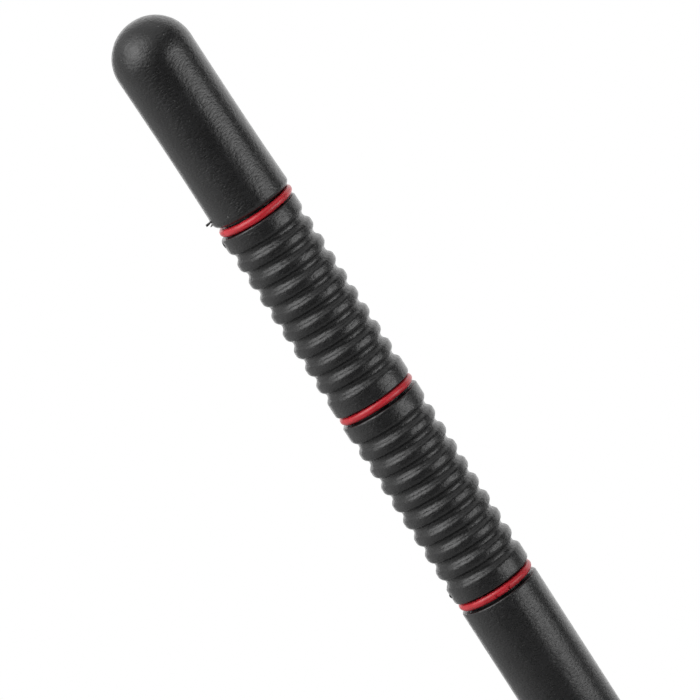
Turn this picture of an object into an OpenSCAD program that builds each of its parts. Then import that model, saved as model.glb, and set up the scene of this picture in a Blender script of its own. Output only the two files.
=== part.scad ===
// Short mast aerial of a car: a black moulded sheath with a domed tip and two ribbed bands,
// three red rings in its grooves, and inside it a wound antenna rod on a threaded ferrule.
// +Z runs up the mast. The origin is on its axis, on the face that seats on the car.

/* [Sheath] */
// Outside diameter of the tip, the ribbed bands and the shaft
mast_d = 10; // [9:0.1:14]
// Length of the plain shaft below the lower groove
shaft_len = 78.6; // [60:0.2:120]
// Length of the tip from the upper groove to the start of its dome
tip_len = 20.45; // [14:0.1:30]
// How far the side of the tip draws in at mid-length
tip_waist = 0.05; // [0:0.01:0.2]
// Radius that rounds the rims beside the grooves and the shaft's foot
rim_r = 0.2; // [0.05:0.01:0.3]
// Radius that rounds the lower rim of the tip
tip_rim_r = 0.35; // [0.05:0.01:0.5]

/* [Ribbed bands] */
// Number of full ribs in each band
rib_count = 8; // [4:1:12]
// Distance from one rib to the next in the upper band
rib_pitch = 2.43; // [2:0.01:3]
// How much closer the ribs of the lower band stand, between longer collars
lower_closer = 0.05; // [0:0.01:0.1]
// Depth of the valleys between the ribs
rib_depth = 0.5; // [0.3:0.02:0.7]
// Length of the flat crest of a rib
crest_flat = 0.4; // [0.1:0.05:0.8]
// Radius of the rounded floor of a valley
valley_r = 0.65; // [0.3:0.05:0.8]
// Length of the flat collar at each end of the upper band
collar_len = 1.62; // [0.8:0.02:4]

/* [Rings and grooves] */
// Thickness of a ring's cord
ring_cord = 1; // [0.8:0.05:1.2]
// How far the outside of a ring lies inside the side of the mast
ring_inset = 0.05; // [0:0.01:0.2]
// Gap between a ring and the floor of its groove
ring_gap = 0.03; // [0.02:0.01:0.1]
// Free width of a groove on each side of its ring
groove_room = 0.2; // [0.1:0.02:0.4]

/* [Antenna rod] */
// Diameter of the glass-fibre rod
rod_d = 3; // [2.6:0.1:3.4]
// Chamfer at both ends of the rod
rod_chamfer = 0.3; // [0.1:0.05:0.5]
// Free length between the rod's top and the end of its bore
rod_end_gap = 0.5; // [0.1:0.05:2]
// Solid length of the sheath between the bore's end and the dome
bore_stop = 3; // [1:0.5:8]

/* [Winding] */
// Diameter of the copper wire
wire_d = 0.5; // [0.3:0.05:0.6]
// Number of close turns at the foot
close_turns = 6; // [3:1:12]
// Distance from one close turn to the next
close_pitch = 0.9; // [0.7:0.05:1.2]
// Number of open turns above them
open_turns = 28; // [20:1:40]
// Bare length of the rod above the last turn
bare_len = 8; // [3:0.5:20]
// Radius of the bend from the tail in the keyway into the first turn
bend_r = 0.8; // [0.6:0.05:1.2]
// Gap between the wire and the rod, and between the wire and the sheath
wire_gap = 0.03; // [0.02:0.01:0.08]

/* [Ferrule] */
// How far the flange lies inside the side of the mast
flange_inset = 0.3; // [0.1:0.05:0.6]
// Height of the flange that shows below the sheath
flange_h = 3; // [2:0.1:5]
// Distance across the two spanner flats
flats_w = 8; // [7.4:0.1:8.4]
// Chamfer on the flange's edges
flange_chamfer = 0.3; // [0.1:0.05:0.5]
// Thickness of the spigot's wall round the rod
spigot_wall = 1.5; // [1.2:0.05:1.7]
// Length of the spigot inside the sheath
spigot_len = 11; // [9:0.5:16]
// Solid length of the spigot below the rod
spigot_floor = 2; // [1:0.5:4]
// Number of grooves round the spigot that grip the sheath
grip_count = 3; // [1:1:4]
// Width of a grip groove
grip_w = 1; // [0.6:0.1:1.4]
// Depth of a grip groove
grip_depth = 0.4; // [0.2:0.05:0.5]
// Gap between the ferrule and the rod, the wire or the sheath
seat_gap = 0.02; // [0.01:0.01:0.04]

/* [Stud] */
// Outside diameter of the threaded stud
stud_d = 5; // [4:0.1:6]
// Length of the stud below the seat face
stud_len = 9; // [6:0.5:14]
// Chamfer at the stud's free end
stud_chamfer = 0.7; // [0.3:0.1:1]

/* [Hidden] */
$fn = 96;
// Short cones that follow the waist of the tip
waist_steps = 8;
// Straight lengths of wire in a turn and in the bend, and sides of the wire's section
turn_steps = 16;
bend_steps = 5;
wire_sides = 6;
sheath_black = [0.07, 0.07, 0.07];
ring_red = [0.75, 0.05, 0.08];
fibre_cream = [0.85, 0.82, 0.7];
copper = [0.72, 0.4, 0.2];
plated_brass = [0.78, 0.77, 0.73];

mast_r = mast_d / 2;
rod_r = rod_d / 2;
stud_r = stud_d / 2;
ring_r = ring_cord / 2;

// Both bands are as long as the collars and ribs of the upper one
lower_pitch = rib_pitch - lower_closer;
rib_gaps = rib_count + 1;
band_len = 2 * collar_len - crest_flat + rib_gaps * rib_pitch;

// Shoulder and floor arcs lap by a hair where they meet, so that they cross at a clean point
arc_lap = 0.0005;

// Rings lie in the middle of their grooves
groove_w = ring_cord + 2 * groove_room;
groove_r = mast_r - ring_inset - ring_cord - ring_gap;
ring_centre_r = mast_r - ring_inset - ring_r;

// Heights along the mast
foot_z = flange_h;
lower_groove_z = foot_z + shaft_len;
lower_band_z = lower_groove_z + groove_w;
middle_groove_z = lower_band_z + band_len;
upper_band_z = middle_groove_z + groove_w;
upper_groove_z = upper_band_z + band_len;
tip_z = upper_groove_z + groove_w;
dome_z = tip_z + tip_len;

// The rod stands on the floor of the spigot and ends just short of the bore's end
spigot_top_z = flange_h + spigot_len;
rod_foot_z = flange_h + spigot_floor;
bore_top_z = dome_z - bore_stop;
rod_top_z = bore_top_z - rod_end_gap;
rod_len = rod_top_z - rod_foot_z;

// The wire's straight lengths clear the rod at their middles, so its corners lie further out
wire_half = wire_d / 2;
wire_r = (rod_r + wire_gap + wire_half) / cos(180 / turn_steps);
tail_foot_z = rod_foot_z + seat_gap;
bend_z = spigot_top_z + seat_gap;
bend_end = bend_point(1);
open_z = bend_end[1] + close_turns * close_pitch;
open_pitch = (rod_top_z - bare_len - open_z) / open_turns;

// The wire's way, as [angle round the rod, height, slope]. It comes straight up the keyway,
// bends round the rod and climbs it, first in close turns and then in open ones.
wire_way = concat(
  [[0, tail_foot_z, 90]],
  [for (i = [0:bend_steps]) bend_point(i / bend_steps)],
  [for (i = [1:(close_turns + open_turns) * turn_steps]) turn_point(i / turn_steps)]
);

// The ferrule's radii and the bore that clears the winding
socket_r = rod_r + seat_gap;
spigot_r = socket_r + spigot_wall;
flange_r = mast_r - flange_inset;
grip_pitch = spigot_len / (grip_count + 1);
keyway_w = wire_d + 2 * seat_gap;
bore_r = wire_r + wire_half + wire_gap;

// A rib's shoulder arc and a valley's floor arc meet on one tangent, on the flank between them.
// This is the sum of their radii for ribs at one pitch.
function arc_sum(pitch) =
  let (flank_run = (pitch - crest_flat) / 2)
  (pow(flank_run, 2) + pow(rib_depth, 2)) / (2 * rib_depth);

// Slope of the wire where it rises one pitch in a turn
function slope(pitch) = atan2(pitch, 2 * PI * wire_r);

// Point at a share of the bend, an arc from straight up to the slope of the close turns
function bend_point(share) =
  let (
    turned = share * (90 - slope(close_pitch)),
    run = bend_r * (1 - cos(turned))
  )
  [run / wire_r * 180 / PI, bend_z + bend_r * sin(turned), 90 - turned];

// Point some turns after the bend
function turn_point(turn) =
  let (open = max(turn - close_turns, 0))
  [
    bend_end[0] + 360 * turn,
    bend_end[1] + (turn - open) * close_pitch + open * open_pitch,
    slope(open > 0 ? open_pitch : close_pitch)
  ];

// Corner of the wire's section at a point of its way
function wire_corner(at, side) =
  let (
    turned = 360 * side / wire_sides,
    out = wire_r + wire_half * cos(turned),
    across = wire_half * sin(turned),
    back = -across * sin(at[2])
  )
  [
    out * cos(at[0]) - back * sin(at[0]),
    out * sin(at[0]) + back * cos(at[0]),
    at[1] + across * cos(at[2])
  ];

// Radius of the tip's side at a share of its length
function waist_radius(share) = mast_r - 4 * tip_waist * share * (1 - share);

// Half section of a length of the sheath whose lower rim is rounded
module rimmed_profile(length, round_r) {
  square([mast_r - round_r, length]);
  translate([0, round_r]) square([mast_r, length - round_r]);
  translate([mast_r - round_r, round_r]) circle(round_r);
}

// Half section of the plain shaft, rounded at both rims
module shaft_profile() {
  rimmed_profile(shaft_len - rim_r, rim_r);
  translate([0, shaft_len]) mirror([0, 1]) rimmed_profile(shaft_len - rim_r, rim_r);
}

// Half section of one rib: its flat crest and the round shoulder above and below it
module rib_profile(shoulder_r) {
  translate([0, -crest_flat / 2]) square([mast_r, crest_flat]);
  for (side = [-1, 1])
    translate([mast_r - shoulder_r, side * crest_flat / 2]) circle(shoulder_r);
}

// Half section of a ribbed band: ribs and two end collars on a body, less the round valleys
module band_profile(pitch) {
  shoulder_r = arc_sum(pitch) - valley_r;
  flank_r = mast_r - rib_depth * shoulder_r / arc_sum(pitch);
  first_rib = (band_len - rib_gaps * pitch) / 2;
  collar = first_rib + crest_flat / 2;
  difference() {
    union() {
      square([flank_r, band_len]);
      for (i = [0:rib_gaps])
        translate([0, first_rib + i * pitch]) rib_profile(shoulder_r);
      rimmed_profile(collar, rim_r);
      translate([0, band_len]) mirror([0, 1]) rimmed_profile(collar, rim_r);
    }
    for (i = [0:rib_count])
      translate([mast_r - rib_depth + valley_r, first_rib + (i + 0.5) * pitch])
        circle(valley_r + arc_lap);
  }
}

// Half section of the tip: a rounded rim, the waisted side and the dome
module tip_profile() {
  intersection() {
    rimmed_profile(tip_len + mast_r, tip_rim_r);
    union() {
      polygon(concat(
        [[0, 0], [mast_r, 0]],
        [for (i = [1:waist_steps]) [waist_radius(i / waist_steps), tip_len * i / waist_steps]],
        [[0, tip_len]]
      ));
      translate([0, tip_len]) circle(mast_r);
    }
  }
}

// Half section of the spigot. The sheath's inside takes the same shape with a gap all round.
module spigot_profile(gap) {
  ridge_w = grip_w - 2 * gap;
  difference() {
    square([spigot_r + gap, spigot_len + gap]);
    for (i = [1:grip_count])
      translate([spigot_r - grip_depth + gap, i * grip_pitch - ridge_w / 2])
        square([grip_depth + gap, ridge_w]);
  }
}

// Half section of the sheath's inside, open at the foot
module bore_profile() {
  square([spigot_r + seat_gap, foot_z]);
  translate([0, foot_z]) spigot_profile(seat_gap);
  square([bore_r, bore_top_z]);
}

// The one-piece black moulding
module mast_sheath() {
  color(sheath_black) rotate_extrude() difference() {
    union() {
      translate([0, foot_z]) square([groove_r, dome_z - foot_z]);
      translate([0, foot_z]) shaft_profile();
      translate([0, lower_band_z]) band_profile(lower_pitch);
      translate([0, upper_band_z]) band_profile(rib_pitch);
      translate([0, tip_z]) tip_profile();
    }
    bore_profile();
  }
}

// A red ring in the groove that starts at groove_z
module groove_ring(groove_z) {
  color(ring_red) translate([0, 0, groove_z + groove_w / 2])
    rotate_extrude() translate([ring_centre_r, 0]) circle(ring_r);
}

module upper_ring() {
  groove_ring(upper_groove_z);
}

module middle_ring() {
  groove_ring(middle_groove_z);
}

module lower_ring() {
  groove_ring(lower_groove_z);
}

// The glass-fibre rod, chamfered at both ends
module core_rod() {
  tip_r = rod_r - rod_chamfer;
  color(fibre_cream) translate([0, 0, rod_foot_z]) {
    cylinder(r1 = tip_r, r2 = rod_r, h = rod_chamfer);
    translate([0, 0, rod_chamfer]) cylinder(r = rod_r, h = rod_len - 2 * rod_chamfer);
    translate([0, 0, rod_len - rod_chamfer]) cylinder(r1 = rod_r, r2 = tip_r, h = rod_chamfer);
  }
}

// The copper wire: a section that follows the wire's way, closed at both ends
module antenna_winding() {
  last = len(wire_way) - 1;
  corners = [for (at = wire_way) for (side = [0:wire_sides - 1]) wire_corner(at, side)];
  sides = [
    for (i = [0:last - 1])
      for (side = [0:wire_sides - 1])
        let (next = (side + 1) % wire_sides, here = i * wire_sides, ahead = here + wire_sides)
        [here + side, here + next, ahead + next, ahead + side]
  ];
  foot = [for (side = [wire_sides - 1:-1:0]) side];
  head = [for (side = [0:wire_sides - 1]) last * wire_sides + side];
  color(copper) polyhedron(corners, concat(sides, [foot, head]));
}

// Half section of the turned ferrule: stud, flange and spigot
module ferrule_profile() {
  polygon([
    [0, -stud_len], [stud_r - stud_chamfer, -stud_len], [stud_r, stud_chamfer - stud_len],
    [stud_r, 0], [flange_r - flange_chamfer, 0], [flange_r, flange_chamfer],
    [flange_r, flange_h - flange_chamfer], [flange_r - flange_chamfer, flange_h], [0, flange_h]
  ]);
  translate([0, flange_h]) spigot_profile(0);
}

// The two cutters that leave the spanner flats
module flat_cutters() {
  for (side = [-1, 1])
    translate([side * (flats_w + mast_d) / 2, 0, flange_h / 2])
      cube([mast_d, 2 * mast_d, 2 * flange_h], center = true);
}

// The keyway beside the rod for the wire's tail
module keyway() {
  translate([0, -keyway_w / 2, 0]) cube([wire_r, keyway_w, spigot_len]);
  translate([wire_r, 0, 0]) cylinder(r = keyway_w / 2, h = spigot_len);
}

// The plated brass ferrule
module threaded_ferrule() {
  color(plated_brass) difference() {
    rotate_extrude() ferrule_profile();
    flat_cutters();
    translate([0, 0, rod_foot_z]) cylinder(r = socket_r, h = spigot_len);
    translate([0, 0, rod_foot_z]) keyway();
  }
}

mast_sheath();
upper_ring();
middle_ring();
lower_ring();
core_rod();
antenna_winding();
threaded_ferrule();
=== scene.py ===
"""Looks of a short car mast aerial: a black ribbed sheath, three red rings and a threaded ferrule.

Shapes are in millimetres, and mesh_object turns them into metres. The camera looks along +Y, so
+X is its right. An azimuth is in degrees from the side that faces the camera, growing to its
right, and a turn is in degrees from +X towards +Y.
"""
import math

import bpy
import numpy as np
from mathutils import Matrix, Vector


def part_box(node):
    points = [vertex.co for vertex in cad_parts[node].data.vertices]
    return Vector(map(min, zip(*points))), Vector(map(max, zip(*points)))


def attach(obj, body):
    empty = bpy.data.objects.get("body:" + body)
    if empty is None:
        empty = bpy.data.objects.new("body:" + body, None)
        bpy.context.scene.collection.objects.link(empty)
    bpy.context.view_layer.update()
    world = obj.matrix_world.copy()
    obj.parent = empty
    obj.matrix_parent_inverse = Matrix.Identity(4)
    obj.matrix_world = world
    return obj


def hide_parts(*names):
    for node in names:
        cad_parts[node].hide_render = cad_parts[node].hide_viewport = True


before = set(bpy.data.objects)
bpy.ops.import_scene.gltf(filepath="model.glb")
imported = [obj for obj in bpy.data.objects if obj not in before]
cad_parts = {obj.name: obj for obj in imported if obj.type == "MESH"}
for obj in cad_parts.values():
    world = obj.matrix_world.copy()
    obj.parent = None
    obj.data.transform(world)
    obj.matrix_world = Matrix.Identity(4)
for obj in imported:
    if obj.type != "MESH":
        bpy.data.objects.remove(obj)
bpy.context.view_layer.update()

MM = 0.001
# Lengths that differ by less than this are the same
TINY = 1e-6


def box_mm(node):
    """Lowest and highest corner of a CAD node, in mm."""
    low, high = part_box(node)
    return low / MM, high / MM


# Sizes that follow the frame
sheath_low, sheath_high = box_mm("mast_sheath")
ferrule_low, ferrule_high = box_mm("threaded_ferrule")
MAST_R = sheath_high.x
FOOT_Z = sheath_low.z
TOP_Z = sheath_high.z
DOME_Z = TOP_Z - MAST_R
STUD_END_Z = ferrule_low.z
SPIGOT_TOP_Z = ferrule_high.z
RINGS = ("lower_ring", "middle_ring", "upper_ring")
ring_boxes = {name: box_mm(name) for name in RINGS}
ring_z = {name: (low.z + high.z) / 2 for name, (low, high) in ring_boxes.items()}
RING_CORD = ring_boxes["upper_ring"][1].z - ring_boxes["upper_ring"][0].z
RING_OUTER_R = ring_boxes["upper_ring"][1].x

# Radius of the rims beside the grooves and at the foot
RIM_R = 0.2
GROOVE_W = 1.4
GROOVE_R = 3.92
# How far each groove's lower edge lies above its place in the CAD
SILL_UP = {"lower_ring": -0.13, "middle_ring": 0.0, "upper_ring": 0.1}

# The two ribbed bands
RIB_COUNT = 8
UPPER_PITCH = 2.42
LOWER_PITCH = 2.4
# How far the upper band's ribs lie above the middle of the band
UPPER_RIBS_UP = 0.15
# How much larger the lower band is in radius than the mast
LOWER_SWELL = 0.045
RIB_DEPTH = 0.5
CREST_FLAT = 0.4
VALLEY_R = 0.65
BAND_LEN = ring_z["middle_ring"] - ring_z["lower_ring"] - GROOVE_W
# How far the ribs rise at the right and sink at the left. The power keeps their fronts level.
RIB_LEAN = 0.1
RIB_LEAN_POWER = 3
# How far the bands bow to the right between the lower and the upper ring, and a power that puts
# the bow's furthest point above the middle
BOW = 0.065
BOW_SKEW = 1.5

# The tip: how far its side lies in from the mast's radius, and further in halfway up, and how it
# flares towards its rounded lower rim
TIP_Z = ring_z["upper_ring"] + GROOVE_W / 2
TIP_INSET = 0.03
TIP_WAIST = 0.05
TIP_FLARE = 0.1
TIP_FLARE_LEN = 4.0
TIP_RIM_R = 0.7
# Power of the dome's curve, which is 2 for a half ball
DOME_FULLNESS = 2.06
# Shifts to the right of the tip's lower rim, of the start of its dome and of its top
RIM_SHIFT = 0.18
DOME_SHIFT = -0.04
TOP_SHIFT = 0.03

# Height of the parting line's ridge, and the turns at which it runs
PARTING_H = 0.03
PARTING_TURNS = (0, 180)

# The sheath's inside, with ridges that grip the spigot
BORE_R = 2.095
BORE_STOP = 3.0
SPIGOT_BORE_R = 3.04
SEAT_GAP = 0.02
GRIP_COUNT = 3
GRIP_W = 1.0
GRIP_DEPTH = 0.4

# Steps in the arcs of the sheath's half section, and lengths of the steps up its straight sides
RIM_STEPS = 5
SHOULDER_STEPS = 5
VALLEY_STEPS = 8
TIP_RIM_STEPS = 6
TIP_SIDE_STEPS = 30
DOME_STEPS = 32
COLLAR_STEP = 0.6
SHAFT_STEP = 2.5
SHEATH_SEGMENTS = 192

# How each ring sits in its groove: its shift to the right, its shift up, its rise to the right to
# the mm, and how far its sides lie above its front
RING_SEATS = {
    "upper_ring": (0.2, -0.05, 0.024, 0.14),
    "middle_ring": (0.02, 0.12, 0.022, -0.1),
    "lower_ring": (0.0, -0.02, 0.01, 0.0),
}
# Nicks in the lower ring's lower edge: azimuth, half width in degrees, depth
RING_NICKS = ((14.3, 2.4, 0.14), (-7.0, 2.0, 0.12))
CORD_STEPS = 28
RING_SEGMENTS = 384

# Flash at the parting line on the camera's left. Each hair has a height and points, each with its
# reach out, its rise and its radius.
FLASH_AZIMUTH = -90
HAIRS = (
    (136.3, (
        (-0.15, 0.1, 0.16), (0.05, 0.04, 0.15), (0.22, -0.02, 0.12), (0.36, -0.06, 0.15),
        (0.56, -0.1, 0.15), (0.72, -0.18, 0.04),
    )),
    (136.0, (
        (-0.15, 0.1, 0.15), (0.05, 0.0, 0.13), (0.2, -0.1, 0.11), (0.34, -0.17, 0.03),
    )),
)
HAIR_SIDES = 8
# How far a hair wavers, and how fast, in radians to the mm of reach
HAIR_WAVER = 0.12
HAIR_WAVER_RATE = 9
# Burrs: height, length, reach out, thickness
BURRS = ((133.2, 0.9, 0.12, 0.5), (84.0, 0.6, 0.16, 0.35), (84.55, 0.8, 0.04, 0.2))
LUMP_RINGS = 6
LUMP_SIDES = 12

# Specks of dust on the side that the camera sees: azimuth, height, size, and how far they lie
# below the mast's full radius
SPECKS = (
    (36.4, 158.92, 0.2, 0), (30.5, 157.89, 0.17, 0), (30.0, 156.64, 0.2, 0),
    (-33.3, 159.0, 0.18, 0), (-28.4, 158.14, 0.16, 0), (-49.9, 157.94, 0.16, 0),
    (-9.8, 151.0, 0.12, 0), (-21.2, 147.85, 0.13, 0), (-36.8, 136.27, 0.2, 0),
    (-4.0, 109.33, 0.12, 0), (0.7, 102.56, 0.18, 0.47), (-52.5, 85.6, 0.15, 0.42),
    (51.7, 81.04, 0.22, 0), (44.9, 80.89, 0.2, 0),
)
# Half sizes of a speck across, up and out, as shares of its size
SPECK_SHAPE = (0.5, 0.4, 0.2)
SPECK_RINGS = 4
SPECK_SIDES = 8

# Ferrule and stud
FLANGE_R = 4.7
FLATS_HALF = 4.0
FLANGE_CHAMFER = 0.3
SOCKET_R = 1.52
SOCKET_FLOOR_Z = 5.0
STUD_R = 2.5
STUD_CHAMFER = 0.7
THREAD_PITCH = 0.8
THREAD_DEPTH = 0.45
# Length of the thread's run-out under the seat
UNDERCUT = 0.6
# Shares of half a pitch that are the thread's flat crest and its flank
THREAD_CREST = 0.1
THREAD_FLANK = 0.75
THREAD_STEP = 0.05
FERRULE_SEGMENTS = 144

# Edges sharper than this in degrees aren't smoothed
SHARP_ANGLE = 40
FERRULE_SHARP_ANGLE = 25

# The camera: metres from the mast, width of its view in mm at the mast, degrees, and mm
CAMERA_DISTANCE = 0.7
VIEW_WIDTH = 81.01
VIEW_TILT = 9.82
VIEW_ROLL = 32.82
LOOK_Z = 114.93
LOOK_X = 0.635
SENSOR = 36.0
CLIP_END = 20

# Height of the point that the lamps face, in metres
LIGHT_HEIGHT = 0.12
# Name, azimuth, elevation, distance, width and height in metres, radiance
LAMPS = (
    ("key_left", -51, 45, 1.2, 1.1, 1.1, 3.85),
    ("fill_left", -101, 0, 0.9, 2.2, 1.6, 0.79),
    ("strip_right", 57, -24, 1.2, 0.84, 1.0, 4.8),
    ("glow_front", -28, 22, 1.3, 1.5, 0.9, 0.35),
)
# A lamp fades out to its edges: it is panels of these sizes with these shares of its radiance,
# each a step in metres behind the last
PANELS = ((0.4, 0.34), (0.95, 0.36), (1.5, 0.3))
PANEL_STEP = 0.01

# Levels and places in degrees of the white surfaces that glossy and diffuse rays see
BACKDROP_AZIMUTH = 157
BACKDROP_HALF_WIDTH = 37
BACKDROP_SOFTNESS = 20
BACKDROP_LEVEL = 1.45
CEILING_START = 24
CEILING_FULL = 48
CEILING_LEVEL = 0.78
ROOM_LEVEL = 0.015

# The floor, in metres, its grey, and the share of it that shines white to the camera
FLOOR_R = 0.24
FLOOR_SIDES = 96
FLOOR_GREY = 0.35
FLOOR_GLOW = 0.85

# The middle range of a noise value, over which colours blend and other values spread
TINT_RANGE = (0.35, 0.65)
SPAN_RANGE = (0.3, 0.7)


# Meshes


def arc(centre_r, centre_z, radius, start, end, steps):
    """Points of an arc in the half section, from start to end degrees."""
    angles = np.radians(np.linspace(start, end, steps + 1))
    return [(centre_r + radius * math.cos(a), centre_z + radius * math.sin(a)) for a in angles]


def straight(r, start_z, end_z, step):
    """Points up a straight side, both ends left out."""
    count = max(2, round(abs(end_z - start_z) / step))
    return [(r, z) for z in np.linspace(start_z, end_z, count + 1)[1:-1]]


def mesh_object(name, vertices, faces, material, sharp_angle=SHARP_ANGLE):
    """A smooth-shaded mesh, given in mm, that rides with the mast."""
    mesh = bpy.data.meshes.new(name)
    mesh.from_pydata([tuple(c * MM for c in v) for v in vertices], [], faces)
    mesh.validate()
    mesh.polygons.foreach_set("use_smooth", [True] * len(mesh.polygons))
    mesh.set_sharp_from_angle(angle=math.radians(sharp_angle))
    mesh.materials.append(material)
    piece = bpy.data.objects.new(name, mesh)
    bpy.context.scene.collection.objects.link(piece)
    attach(piece, "root")
    return piece


def turned(profile, segments, shape):
    """Vertices and faces of a half section turned about Z. A point at radius 0 becomes one vertex.
    shape gives a point's place, from its (x, y, z), its radius and its turn."""
    turns = [360 * k / segments for k in range(segments)]
    vertices, rows = [], []
    for r, z in profile:
        row = []
        for turn in turns if r > TINY else turns[:1]:
            a = math.radians(turn)
            row.append(len(vertices))
            vertices.append(shape((r * math.cos(a), r * math.sin(a), z), r, turn))
        rows.append(row)
    faces = []
    for low, high in zip(rows, rows[1:] + rows[:1]):
        if len(low) == len(high) == 1:
            continue
        for k in range(segments):
            n = (k + 1) % segments
            if len(low) == 1:
                faces.append((low[0], high[n], high[k]))
            elif len(high) == 1:
                faces.append((low[k], low[n], high[0]))
            else:
                faces.append((low[k], low[n], high[n], high[k]))
    return vertices, faces


# Sheath


def lower_rim(z):
    """The rounded rim at the lower end of a straight length."""
    return arc(MAST_R - RIM_R, z + RIM_R, RIM_R, -90, 0, RIM_STEPS)


def upper_rim(z):
    """The rounded rim at the upper end of a straight length."""
    return arc(MAST_R - RIM_R, z - RIM_R, RIM_R, 0, 90, RIM_STEPS)


def shaft_outline(end_z):
    """The plain shaft, rounded at both rims."""
    side = straight(MAST_R, FOOT_Z + RIM_R, end_z - RIM_R, SHAFT_STEP)
    return lower_rim(FOOT_Z) + side + upper_rim(end_z)


def band_outline(start_z, pitch, ribs_up, top_up):
    """One ribbed band from its lower collar's rim to its upper collar's rim."""
    flank_run = (pitch - CREST_FLAT) / 2
    arc_sum = (flank_run**2 + RIB_DEPTH**2) / (2 * RIB_DEPTH)
    shoulder_r = arc_sum - VALLEY_R
    lean = math.degrees(math.atan2(flank_run, arc_sum - RIB_DEPTH))
    half_flat = CREST_FLAT / 2
    first_rib_z = start_z + (BAND_LEN - (RIB_COUNT + 1) * pitch) / 2 + ribs_up
    last_rib_z = first_rib_z + (RIB_COUNT + 1) * pitch
    end_z = start_z + BAND_LEN + top_up
    points = lower_rim(start_z)
    points += straight(MAST_R, start_z + RIM_R, first_rib_z + half_flat, COLLAR_STEP)
    for i in range(RIB_COUNT + 1):
        crest_z = first_rib_z + i * pitch
        valley_z = crest_z + pitch / 2
        next_z = crest_z + pitch
        crest_r = MAST_R - shoulder_r
        floor_r = MAST_R - RIB_DEPTH + VALLEY_R
        points += arc(crest_r, crest_z + half_flat, shoulder_r, 0, lean, SHOULDER_STEPS)
        points += arc(floor_r, valley_z, VALLEY_R, 180 + lean, 180 - lean, VALLEY_STEPS)[1:-1]
        points += arc(crest_r, next_z - half_flat, shoulder_r, -lean, 0, SHOULDER_STEPS)
    points += straight(MAST_R, last_rib_z - half_flat, end_z - RIM_R, COLLAR_STEP)
    return points + upper_rim(end_z)


def tip_radius(height, length):
    """Radius of the tip's side at a height above its lower rim, waisted and flared at the rim."""
    share = height / length
    waist = 4 * TIP_WAIST * share * (1 - share)
    return MAST_R - TIP_INSET - waist + TIP_FLARE * math.exp(-height / TIP_FLARE_LEN)


def dome_radius(rise):
    """Radius of the dome at a height above its start."""
    n = DOME_FULLNESS
    return (MAST_R**n - rise**n) ** (1 / n) * (1 - TIP_INSET / MAST_R)


def tip_outline(start_z):
    """The tip from its lower rim, up the waisted side and over the dome to the axis."""
    length = DOME_Z - start_z
    rim_r = tip_radius(TIP_RIM_R, length) - TIP_RIM_R
    rim = arc(rim_r, start_z + TIP_RIM_R, TIP_RIM_R, -90, 0, TIP_RIM_STEPS)
    shares = np.linspace(0, 1, TIP_SIDE_STEPS + 1)[1:-1]
    side = [(tip_radius(s * length, length), start_z + s * length) for s in shares]
    angles = np.linspace(0, 90, DOME_STEPS + 1)[:-1]
    rises = [MAST_R * math.sin(math.radians(a)) for a in angles]
    dome = [(dome_radius(rise), DOME_Z + rise) for rise in rises]
    return rim + side + dome + [(0.0, TOP_Z)]


def inside_outline():
    """The bore from its blind end on the axis down to the foot, with the ridges that grip."""
    bore_top_z = DOME_Z - BORE_STOP
    spigot_len = SPIGOT_TOP_Z - FOOT_Z
    ridge_r = SPIGOT_BORE_R - GRIP_DEPTH
    half_ridge = GRIP_W / 2 - SEAT_GAP
    points = [(0.0, bore_top_z), (BORE_R, bore_top_z), (BORE_R, SPIGOT_TOP_Z + SEAT_GAP)]
    points.append((SPIGOT_BORE_R, SPIGOT_TOP_Z + SEAT_GAP))
    for i in range(GRIP_COUNT, 0, -1):
        z = FOOT_Z + i * spigot_len / (GRIP_COUNT + 1)
        points += [(SPIGOT_BORE_R, z + half_ridge), (ridge_r, z + half_ridge)]
        points += [(ridge_r, z - half_ridge), (SPIGOT_BORE_R, z - half_ridge)]
    points.append((SPIGOT_BORE_R, FOOT_Z))
    return points


def sheath_outline():
    """The whole closed half section, from the foot's rim up the outside and down the bore."""
    above = {name: ring_z[name] + GROOVE_W / 2 for name in RINGS}
    sills = {name: above[name] - GROOVE_W + SILL_UP[name] for name in RINGS}
    lower_band = band_outline(above["lower_ring"], LOWER_PITCH, 0, SILL_UP["middle_ring"])
    lengths = (
        shaft_outline(sills["lower_ring"]),
        [(r + LOWER_SWELL, z) for r, z in lower_band],
        band_outline(above["middle_ring"], UPPER_PITCH, UPPER_RIBS_UP, SILL_UP["upper_ring"]),
    )
    points = []
    for name, length in zip(RINGS, lengths):
        points += length + [(GROOVE_R, sills[name]), (GROOVE_R, above[name])]
    return points + tip_outline(above["upper_ring"]) + inside_outline()


def tip_shift(z):
    """The tip's shift to the right at a height."""
    return float(np.interp(z, (TIP_Z, DOME_Z, TOP_Z), (RIM_SHIFT, DOME_SHIFT, TOP_SHIFT)))


def bow(z):
    """The bands' shift to the right at a height."""
    share = (z - ring_z["lower_ring"]) / (ring_z["upper_ring"] - ring_z["lower_ring"])
    return BOW * math.sin(math.pi * min(1.0, max(0.0, share)) ** BOW_SKEW)


def sheath_shape(point, r, turn):
    """Leans the ribs, raises the parting line at both sides, bows the bands and shifts the tip."""
    x, y, z = point
    if r > GROOVE_R and ring_z["lower_ring"] < z < ring_z["upper_ring"]:
        z += RIB_LEAN * (x / MAST_R) ** RIB_LEAN_POWER
    if r > GROOVE_R and turn in PARTING_TURNS:
        x *= 1 + PARTING_H / r
    if r >= GROOVE_R:
        x += bow(point[2])
    if z >= TIP_Z or (z > TIP_Z - GROOVE_W and r <= GROOVE_R):
        x += tip_shift(z)
    return x, y, z


def make_sheath(material):
    """The one-piece moulding, which stands for the CAD sheath."""
    vertices, faces = turned(sheath_outline(), SHEATH_SEGMENTS, sheath_shape)
    piece = mesh_object("sheath", vertices, faces, material)
    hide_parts("mast_sheath")


# Rings


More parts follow.
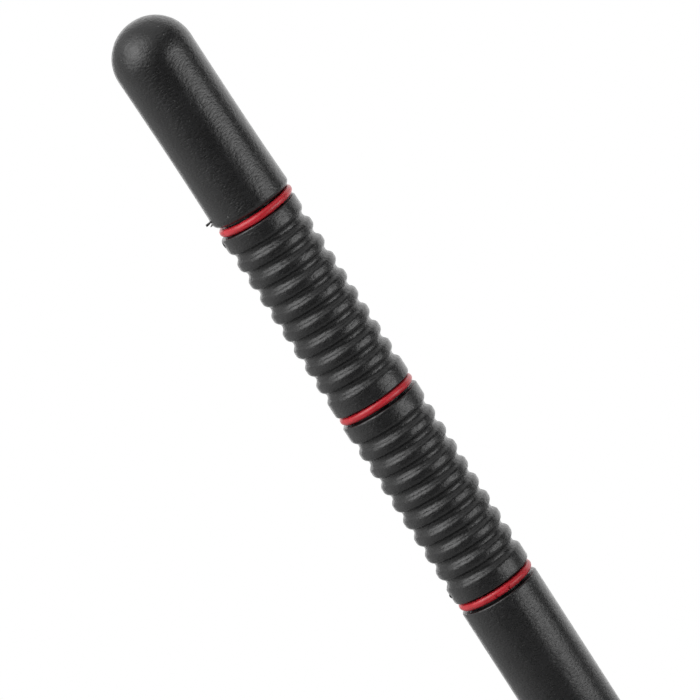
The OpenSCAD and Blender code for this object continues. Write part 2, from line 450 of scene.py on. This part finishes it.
def make_ring(name, material):
    """A fine red ring, which stands for the CAD ring in its groove."""
    cord_r = RING_CORD / 2
    across, up, rise, lift = RING_SEATS[name]
    middle_z = ring_z[name] + up

    def seat(point, r, turn):
        x, y, z = point
        if name == "lower_ring" and r > RING_OUTER_R - cord_r and z < middle_z:
            azimuth = (turn + 270) % 360 - 180
            for place, half, depth in RING_NICKS:
                dent = depth * max(0, 1 - abs(azimuth - place) / half)
                x, y, z = x * (1 - dent / r), y * (1 - dent / r), z + dent
        return x + across + bow(middle_z), y, z + rise * x + lift * (x / RING_OUTER_R) ** 2

    profile = arc(RING_OUTER_R - cord_r, middle_z, cord_r, -180, 180, CORD_STEPS)[:-1]
    vertices, faces = turned(profile, RING_SEGMENTS, seat)
    piece = mesh_object(name + "_rubber", vertices, faces, material)
    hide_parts(name)


# Flash and dust


def on_mast(azimuth, z):
    """A point on the sheath's side or dome, and the way out of it."""
    a = math.radians(azimuth)
    out = Vector((math.sin(a), -math.cos(a), 0))
    if z < TIP_Z:
        swell = LOWER_SWELL if ring_z["lower_ring"] < z < ring_z["middle_ring"] else 0
        return out * (MAST_R + swell) + Vector((bow(z), 0, z)), out
    middle = Vector((tip_shift(z), 0, min(z, DOME_Z)))
    if z <= DOME_Z:
        return middle + out * tip_radius(z - TIP_Z, DOME_Z - TIP_Z), out
    rise = z - DOME_Z
    point = middle + out * dome_radius(rise) + Vector((0, 0, rise))
    return point, (point - middle).normalized()


def make_hair(name, z, points, material):
    """A thin crooked hair of flash, rooted in the sheath's side."""
    start, out = on_mast(FLASH_AZIMUTH, z)
    vertices, faces = [], []
    for reach, rise, radius in points:
        waver = HAIR_WAVER * math.sin(HAIR_WAVER_RATE * reach)
        middle = start + out * reach + Vector((waver, 0, rise))
        for k in range(HAIR_SIDES):
            a = 2 * math.pi * k / HAIR_SIDES
            vertices.append(middle + Vector((0, radius * math.cos(a), radius * math.sin(a))))
    last = (len(points) - 1) * HAIR_SIDES
    for low in range(0, last, HAIR_SIDES):
        high = low + HAIR_SIDES
        for k in range(HAIR_SIDES):
            n = (k + 1) % HAIR_SIDES
            faces.append((low + k, low + n, high + n, high + k))
    faces.append(tuple(range(HAIR_SIDES - 1, -1, -1)))
    faces.append(tuple(last + k for k in range(HAIR_SIDES)))
    mesh_object(name, vertices, faces, material)


def blob(middle, across, up, out, sizes, rings, sides):
    """Vertices and faces of a small rounded lump with the given half sizes."""
    vertices = [middle + out * sizes[2]]
    for i in range(1, rings):
        b = math.pi * i / rings
        for k in range(sides):
            a = 2 * math.pi * k / sides
            flat = across * (sizes[0] * math.cos(a)) + up * (sizes[1] * math.sin(a))
            vertices.append(middle + flat * math.sin(b) + out * (sizes[2] * math.cos(b)))
    vertices.append(middle - out * sizes[2])
    last = len(vertices) - 1
    pairs = [(k, (k + 1) % sides) for k in range(sides)]
    faces = [(0, 1 + k, 1 + n) for k, n in pairs]
    for low in range(1, last - sides, sides):
        high = low + sides
        faces += [(low + k, high + k, high + n, low + n) for k, n in pairs]
    faces += [(last, last - sides + n, last - sides + k) for k, n in pairs]
    return vertices, faces


def make_burr(name, z, length, reach, thick, material):
    """A low lump of flash on the parting line."""
    point, out = on_mast(FLASH_AZIMUTH, z)
    across, up = Vector((0, 1, 0)), Vector((0, 0, 1))
    sizes = (thick / 2, length / 2, reach)
    vertices, faces = blob(point, across, up, out, sizes, LUMP_RINGS, LUMP_SIDES)
    mesh_object(name, vertices, faces, material)


def make_specks(material):
    """Dust: flat rounded specks, sunk by half into the sheath."""
    vertices, faces = [], []
    for azimuth, z, size, depth in SPECKS:
        point, out = on_mast(azimuth, z)
        point -= out * depth
        across = Vector((0, 0, 1)).cross(out).normalized()
        sizes = [share * size for share in SPECK_SHAPE]
        speck = blob(point, across, out.cross(across), out, sizes, SPECK_RINGS, SPECK_SIDES)
        faces += [tuple(len(vertices) + k for k in face) for face in speck[1]]
        vertices += speck[0]
    mesh_object("specks", vertices, faces, material)


# Ferrule


def ferrule_outline():
    """The ferrule's outside and its blind socket, without the thread."""
    spigot_r = SPIGOT_BORE_R - SEAT_GAP
    groove_r = spigot_r - GRIP_DEPTH
    spigot_len = SPIGOT_TOP_Z - FOOT_Z
    steps = round(-STUD_END_Z / THREAD_STEP)
    points = [(0.0, STUD_END_Z)]
    points += [(STUD_R, STUD_END_Z - STUD_END_Z * i / steps) for i in range(steps + 1)]
    points += [(FLANGE_R - FLANGE_CHAMFER, 0.0), (FLANGE_R, FLANGE_CHAMFER)]
    points += [(FLANGE_R, FOOT_Z - FLANGE_CHAMFER), (FLANGE_R - FLANGE_CHAMFER, FOOT_Z)]
    points.append((spigot_r, FOOT_Z))
    for i in range(1, GRIP_COUNT + 1):
        z = FOOT_Z + i * spigot_len / (GRIP_COUNT + 1)
        points += [(spigot_r, z - GRIP_W / 2), (groove_r, z - GRIP_W / 2)]
        points += [(groove_r, z + GRIP_W / 2), (spigot_r, z + GRIP_W / 2)]
    points += [(spigot_r, SPIGOT_TOP_Z), (SOCKET_R, SPIGOT_TOP_Z)]
    return points + [(SOCKET_R, SOCKET_FLOOR_Z), (0.0, SOCKET_FLOOR_Z)]


def thread_radius(turn, z):
    """Radius of the right-hand thread, within its run-out at the seat and its end's chamfer."""
    phase = (z / THREAD_PITCH - turn / 360) % 1.0
    from_crest = abs(phase - 0.5) * 2 - THREAD_CREST
    radius = STUD_R - THREAD_DEPTH * min(1.0, max(0.0, from_crest / THREAD_FLANK))
    if z > -UNDERCUT:
        radius = min(radius, STUD_R - THREAD_DEPTH)
    return min(radius, STUD_R - STUD_CHAMFER + (z - STUD_END_Z))


def ferrule_shape(point, r, turn):
    """Threads the stud and cuts the flange's spanner flats."""
    x, y, z = point
    if z <= 0 and abs(r - STUD_R) < TINY:
        share = thread_radius(turn, z) / r
        return x * share, y * share, z
    if 0 <= z <= FOOT_Z:
        return max(-FLATS_HALF, min(FLATS_HALF, x)), y, z
    return point


def make_ferrule(material):
    """The plated ferrule with its threaded stud, which stands for the CAD ferrule."""
    vertices, faces = turned(ferrule_outline(), FERRULE_SEGMENTS, ferrule_shape)
    piece = mesh_object("ferrule", vertices, faces, material, FERRULE_SHARP_ANGLE)
    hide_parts("threaded_ferrule")


def dress(node, material):
    """Gives a CAD node that stays in view its material."""
    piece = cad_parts[node]
    piece.data.materials.clear()
    piece.data.materials.append(material)


# Materials


def new_material(name):
    """A node material with its shader, and the object coordinates in mm."""
    material = bpy.data.materials.new(name)
    material.use_nodes = True
    tree = material.node_tree
    shader = tree.nodes["Principled BSDF"]
    coords = tree.nodes.new("ShaderNodeTexCoord")
    scale = tree.nodes.new("ShaderNodeMapping")
    scale.inputs["Scale"].default_value = (1 / MM, 1 / MM, 1 / MM)
    tree.links.new(coords.outputs["Object"], scale.inputs["Vector"])
    return material, tree, shader, scale.outputs["Vector"]


def noise(tree, vector, scale, detail=2.0, roughness=0.5, stretch=(1, 1, 1)):
    """A noise value over coordinates in mm. scale is in features to the mm."""
    mapping = tree.nodes.new("ShaderNodeMapping")
    mapping.inputs["Scale"].default_value = stretch
    texture = tree.nodes.new("ShaderNodeTexNoise")
    texture.inputs["Scale"].default_value = scale
    texture.inputs["Detail"].default_value = detail
    texture.inputs["Roughness"].default_value = roughness
    tree.links.new(vector, mapping.inputs["Vector"])
    tree.links.new(mapping.outputs["Vector"], texture.inputs["Vector"])
    return texture.outputs["Fac"]


def tint(tree, shader, value, low, high):
    """Blends the base colour from low to high over the value's middle range."""
    node = tree.nodes.new("ShaderNodeValToRGB")
    for element, position, colour in zip(node.color_ramp.elements, TINT_RANGE, (low, high)):
        element.position = position
        element.color = (*colour, 1)
    tree.links.new(value, node.inputs["Fac"])
    tree.links.new(node.outputs["Color"], shader.inputs["Base Color"])


def span(tree, value, low, high):
    """The value's middle range spread from low to high."""
    node = tree.nodes.new("ShaderNodeMapRange")
    node.inputs["From Min"].default_value = SPAN_RANGE[0]
    node.inputs["From Max"].default_value = SPAN_RANGE[1]
    node.inputs["To Min"].default_value = low
    node.inputs["To Max"].default_value = high
    tree.links.new(value, node.inputs["Value"])
    return node.outputs["Result"]


def bump(tree, height, depth, normal=None):
    """A bump of the given depth in mm for a height from 0 to 1."""
    node = tree.nodes.new("ShaderNodeBump")
    node.inputs["Strength"].default_value = 1.0
    node.inputs["Distance"].default_value = depth * MM
    tree.links.new(height, node.inputs["Height"])
    if normal:
        tree.links.new(normal, node.inputs["Normal"])
    return node.outputs["Normal"]


def sheath_material():
    """Satin black rubber with a fine moulded grain and slow waves."""
    material, tree, shader, mm = new_material("sheath_rubber")
    patches = noise(tree, mm, 0.25, 3)
    grain = noise(tree, mm, 2.3, 2, 0.55, stretch=(1, 1, 1.9))
    pores = noise(tree, mm, 6, 2, 0.5)
    waves = noise(tree, mm, 0.6, 1, stretch=(1, 1, 0.7))
    tint(tree, shader, patches, (0.009, 0.009, 0.0093), (0.0125, 0.0125, 0.0129))
    tree.links.new(span(tree, grain, 0.24, 0.36), shader.inputs["Roughness"])
    fine = bump(tree, grain, 0.06, bump(tree, pores, 0.006))
    tree.links.new(bump(tree, waves, 0.05, fine), shader.inputs["Normal"])
    return material


def ring_material():
    """Smooth satin red rubber, a little lighter where it is rubbed."""
    material, tree, shader, mm = new_material("ring_rubber")
    cloud = noise(tree, mm, 0.8, 3)
    grain = noise(tree, mm, 5, 2, 0.6)
    tint(tree, shader, cloud, (0.42, 0.011, 0.018), (0.52, 0.018, 0.03))
    tree.links.new(span(tree, grain, 0.26, 0.4), shader.inputs["Roughness"])
    tree.links.new(bump(tree, grain, 0.012), shader.inputs["Normal"])
    return material


def fibre_material():
    """Ground glass-fibre rod with fine lengthways fibres."""
    material, tree, shader, mm = new_material("glass_fibre")
    fibres = noise(tree, mm, 6, 3, 0.6, stretch=(1, 1, 0.05))
    tint(tree, shader, fibres, (0.62, 0.55, 0.36), (0.8, 0.74, 0.55))
    tree.links.new(bump(tree, fibres, 0.006), shader.inputs["Normal"])
    shader.inputs["Roughness"].default_value = 0.5
    return material


def copper_material():
    """Enamelled copper wire."""
    material, tree, shader, mm = new_material("copper_wire")
    tint(tree, shader, noise(tree, mm, 1.5, 2), (0.7, 0.28, 0.12), (0.86, 0.42, 0.22))
    shader.inputs["Metallic"].default_value = 1.0
    shader.inputs["Roughness"].default_value = 0.3
    shader.inputs["Coat Weight"].default_value = 0.5
    return material


def plated_material():
    """Nickel-plated brass with fine turning marks."""
    material, tree, shader, mm = new_material("plated_brass")
    marks = noise(tree, mm, 3, 3, 0.6, stretch=(0.05, 0.05, 4))
    tint(tree, shader, noise(tree, mm, 0.5, 3), (0.6, 0.58, 0.54), (0.74, 0.72, 0.68))
    tree.links.new(span(tree, marks, 0.2, 0.34), shader.inputs["Roughness"])
    tree.links.new(bump(tree, marks, 0.004), shader.inputs["Normal"])
    shader.inputs["Metallic"].default_value = 1.0
    return material


def speck_material():
    """Pale dust."""
    material, tree, shader, mm = new_material("dust")
    tint(tree, shader, noise(tree, mm, 6, 2), (0.07, 0.07, 0.07), (0.14, 0.14, 0.14))
    shader.inputs["Roughness"].default_value = 0.7
    return material


# Camera and light


def make_camera():
    """The camera in front of the mast, a little above square to it and rolled."""
    data = bpy.data.cameras.new("camera")
    data.sensor_width = SENSOR
    data.lens = SENSOR * CAMERA_DISTANCE / (VIEW_WIDTH * MM)
    data.clip_end = CLIP_END
    camera = bpy.data.objects.new("camera", data)
    tilt = math.radians(VIEW_TILT)
    away = Vector((0, -math.cos(tilt), math.sin(tilt)))
    target = Vector((LOOK_X * MM, 0, LOOK_Z * MM))
    upright = Matrix.Rotation(math.pi / 2 - tilt, 4, "X")
    roll = Matrix.Rotation(-math.radians(VIEW_ROLL), 4, "Z")
    camera.matrix_world = Matrix.Translation(target + away * CAMERA_DISTANCE) @ upright @ roll
    bpy.context.scene.collection.objects.link(camera)
    bpy.context.scene.camera = camera


def make_lamp(name, azimuth, elevation, distance, width, height, radiance):
    """A soft rectangular lamp that faces the mast."""
    a, e = math.radians(azimuth), math.radians(elevation)
    way = Vector((math.sin(a) * math.cos(e), -math.cos(a) * math.cos(e), math.sin(e)))
    for i, (size, share) in enumerate(PANELS):
        data = bpy.data.lights.new(f"{name}_{i + 1}", "AREA")
        data.shape = "RECTANGLE"
        data.size = size * width
        data.size_y = size * height
        data.energy = share * radiance * math.pi * data.size * data.size_y
        panel = bpy.data.objects.new(data.name, data)
        panel.location = Vector((0, 0, LIGHT_HEIGHT)) + way * (distance + i * PANEL_STEP)
        panel.rotation_euler = way.to_track_quat("Z", "Y").to_euler()
        bpy.context.scene.collection.objects.link(panel)


def direction_share(tree, coords, way, start, full):
    """0 for rays over start degrees from a direction, rising to 1 within full degrees of it."""
    toward = tree.nodes.new("ShaderNodeVectorMath")
    toward.operation = "DOT_PRODUCT"
    toward.inputs[1].default_value = way
    tree.links.new(coords, toward.inputs[0])
    share = tree.nodes.new("ShaderNodeMapRange")
    share.interpolation_type = "SMOOTHSTEP"
    share.inputs["From Min"].default_value = math.cos(math.radians(start))
    share.inputs["From Max"].default_value = math.cos(math.radians(full))
    tree.links.new(toward.outputs["Value"], share.inputs["Value"])
    return share.outputs["Result"]


def math_node(tree, operation, first, second):
    """A math node on two sockets or plain values."""
    node = tree.nodes.new("ShaderNodeMath")
    node.operation = operation
    for socket, value in zip(node.inputs, (first, second)):
        if isinstance(value, (int, float)):
            socket.default_value = value
        else:
            tree.links.new(value, socket)
    return node.outputs["Value"]


def make_world():
    """White to the camera. To other rays a dim room with a white backdrop and a white ceiling."""
    world = bpy.data.worlds.new("studio")
    world.use_nodes = True
    bpy.context.scene.world = world
    tree = world.node_tree
    tree.nodes.clear()
    path = tree.nodes.new("ShaderNodeLightPath").outputs
    coords = tree.nodes.new("ShaderNodeTexCoord").outputs["Generated"]
    a = math.radians(BACKDROP_AZIMUTH)
    behind = (math.sin(a), -math.cos(a), 0)
    edge = BACKDROP_HALF_WIDTH + BACKDROP_SOFTNESS
    backdrop = direction_share(tree, coords, behind, edge, BACKDROP_HALF_WIDTH)
    ceiling = direction_share(tree, coords, (0, 0, 1), 90 - CEILING_START, 90 - CEILING_FULL)
    backdrop = math_node(tree, "MULTIPLY", backdrop, BACKDROP_LEVEL)
    ceiling = math_node(tree, "MULTIPLY", ceiling, CEILING_LEVEL)
    room = math_node(tree, "ADD", math_node(tree, "MAXIMUM", backdrop, ceiling), ROOM_LEVEL)
    seen = math_node(tree, "MAXIMUM", path["Is Camera Ray"], path["Is Transmission Ray"])
    strength = tree.nodes.new("ShaderNodeMix")
    strength.data_type = "FLOAT"
    tree.links.new(seen, strength.inputs["Factor"])
    tree.links.new(room, strength.inputs["A"])
    strength.inputs["B"].default_value = 1.0
    background = tree.nodes.new("ShaderNodeBackground")
    background.inputs["Color"].default_value = (1, 1, 1, 1)
    output = tree.nodes.new("ShaderNodeOutputWorld")
    tree.links.new(strength.outputs["Result"], background.inputs["Strength"])
    tree.links.new(background.outputs["Background"], output.inputs["Surface"])


def make_floor():
    """A pale floor under the stud that looks white and keeps the mast's shadow."""
    bpy.ops.mesh.primitive_circle_add(vertices=FLOOR_SIDES, radius=FLOOR_R, fill_type="NGON")
    floor = bpy.context.object
    floor.name = "floor"
    floor.location.z = STUD_END_Z * MM
    material = bpy.data.materials.new("floor")
    material.use_nodes = True
    tree = material.node_tree
    tree.nodes.clear()
    camera_ray = tree.nodes.new("ShaderNodeLightPath").outputs["Is Camera Ray"]
    paper = tree.nodes.new("ShaderNodeBsdfDiffuse")
    paper.inputs["Color"].default_value = (FLOOR_GREY, FLOOR_GREY, FLOOR_GREY, 1)
    glow = tree.nodes.new("ShaderNodeEmission")
    mix = tree.nodes.new("ShaderNodeMixShader")
    output = tree.nodes.new("ShaderNodeOutputMaterial")
    tree.links.new(math_node(tree, "MULTIPLY", camera_ray, FLOOR_GLOW), mix.inputs["Fac"])
    tree.links.new(paper.outputs["BSDF"], mix.inputs[1])
    tree.links.new(glow.outputs["Emission"], mix.inputs[2])
    tree.links.new(mix.outputs["Shader"], output.inputs["Surface"])
    floor.data.materials.append(material)


make_camera()
make_world()
make_floor()
for lamp in LAMPS:
    make_lamp(*lamp)

black = sheath_material()
make_sheath(black)
for i, (z, points) in enumerate(HAIRS):
    make_hair(f"flash_hair_{i + 1}", z, points, black)
for i, burr in enumerate(BURRS):
    make_burr(f"flash_burr_{i + 1}", *burr, black)
make_specks(speck_material())
red = ring_material()
for name in RINGS:
    make_ring(name, red)
make_ferrule(plated_material())
dress("core_rod", fibre_material())
dress("antenna_winding", copper_material())

bpy.context.scene.view_settings.view_transform = "Standard"
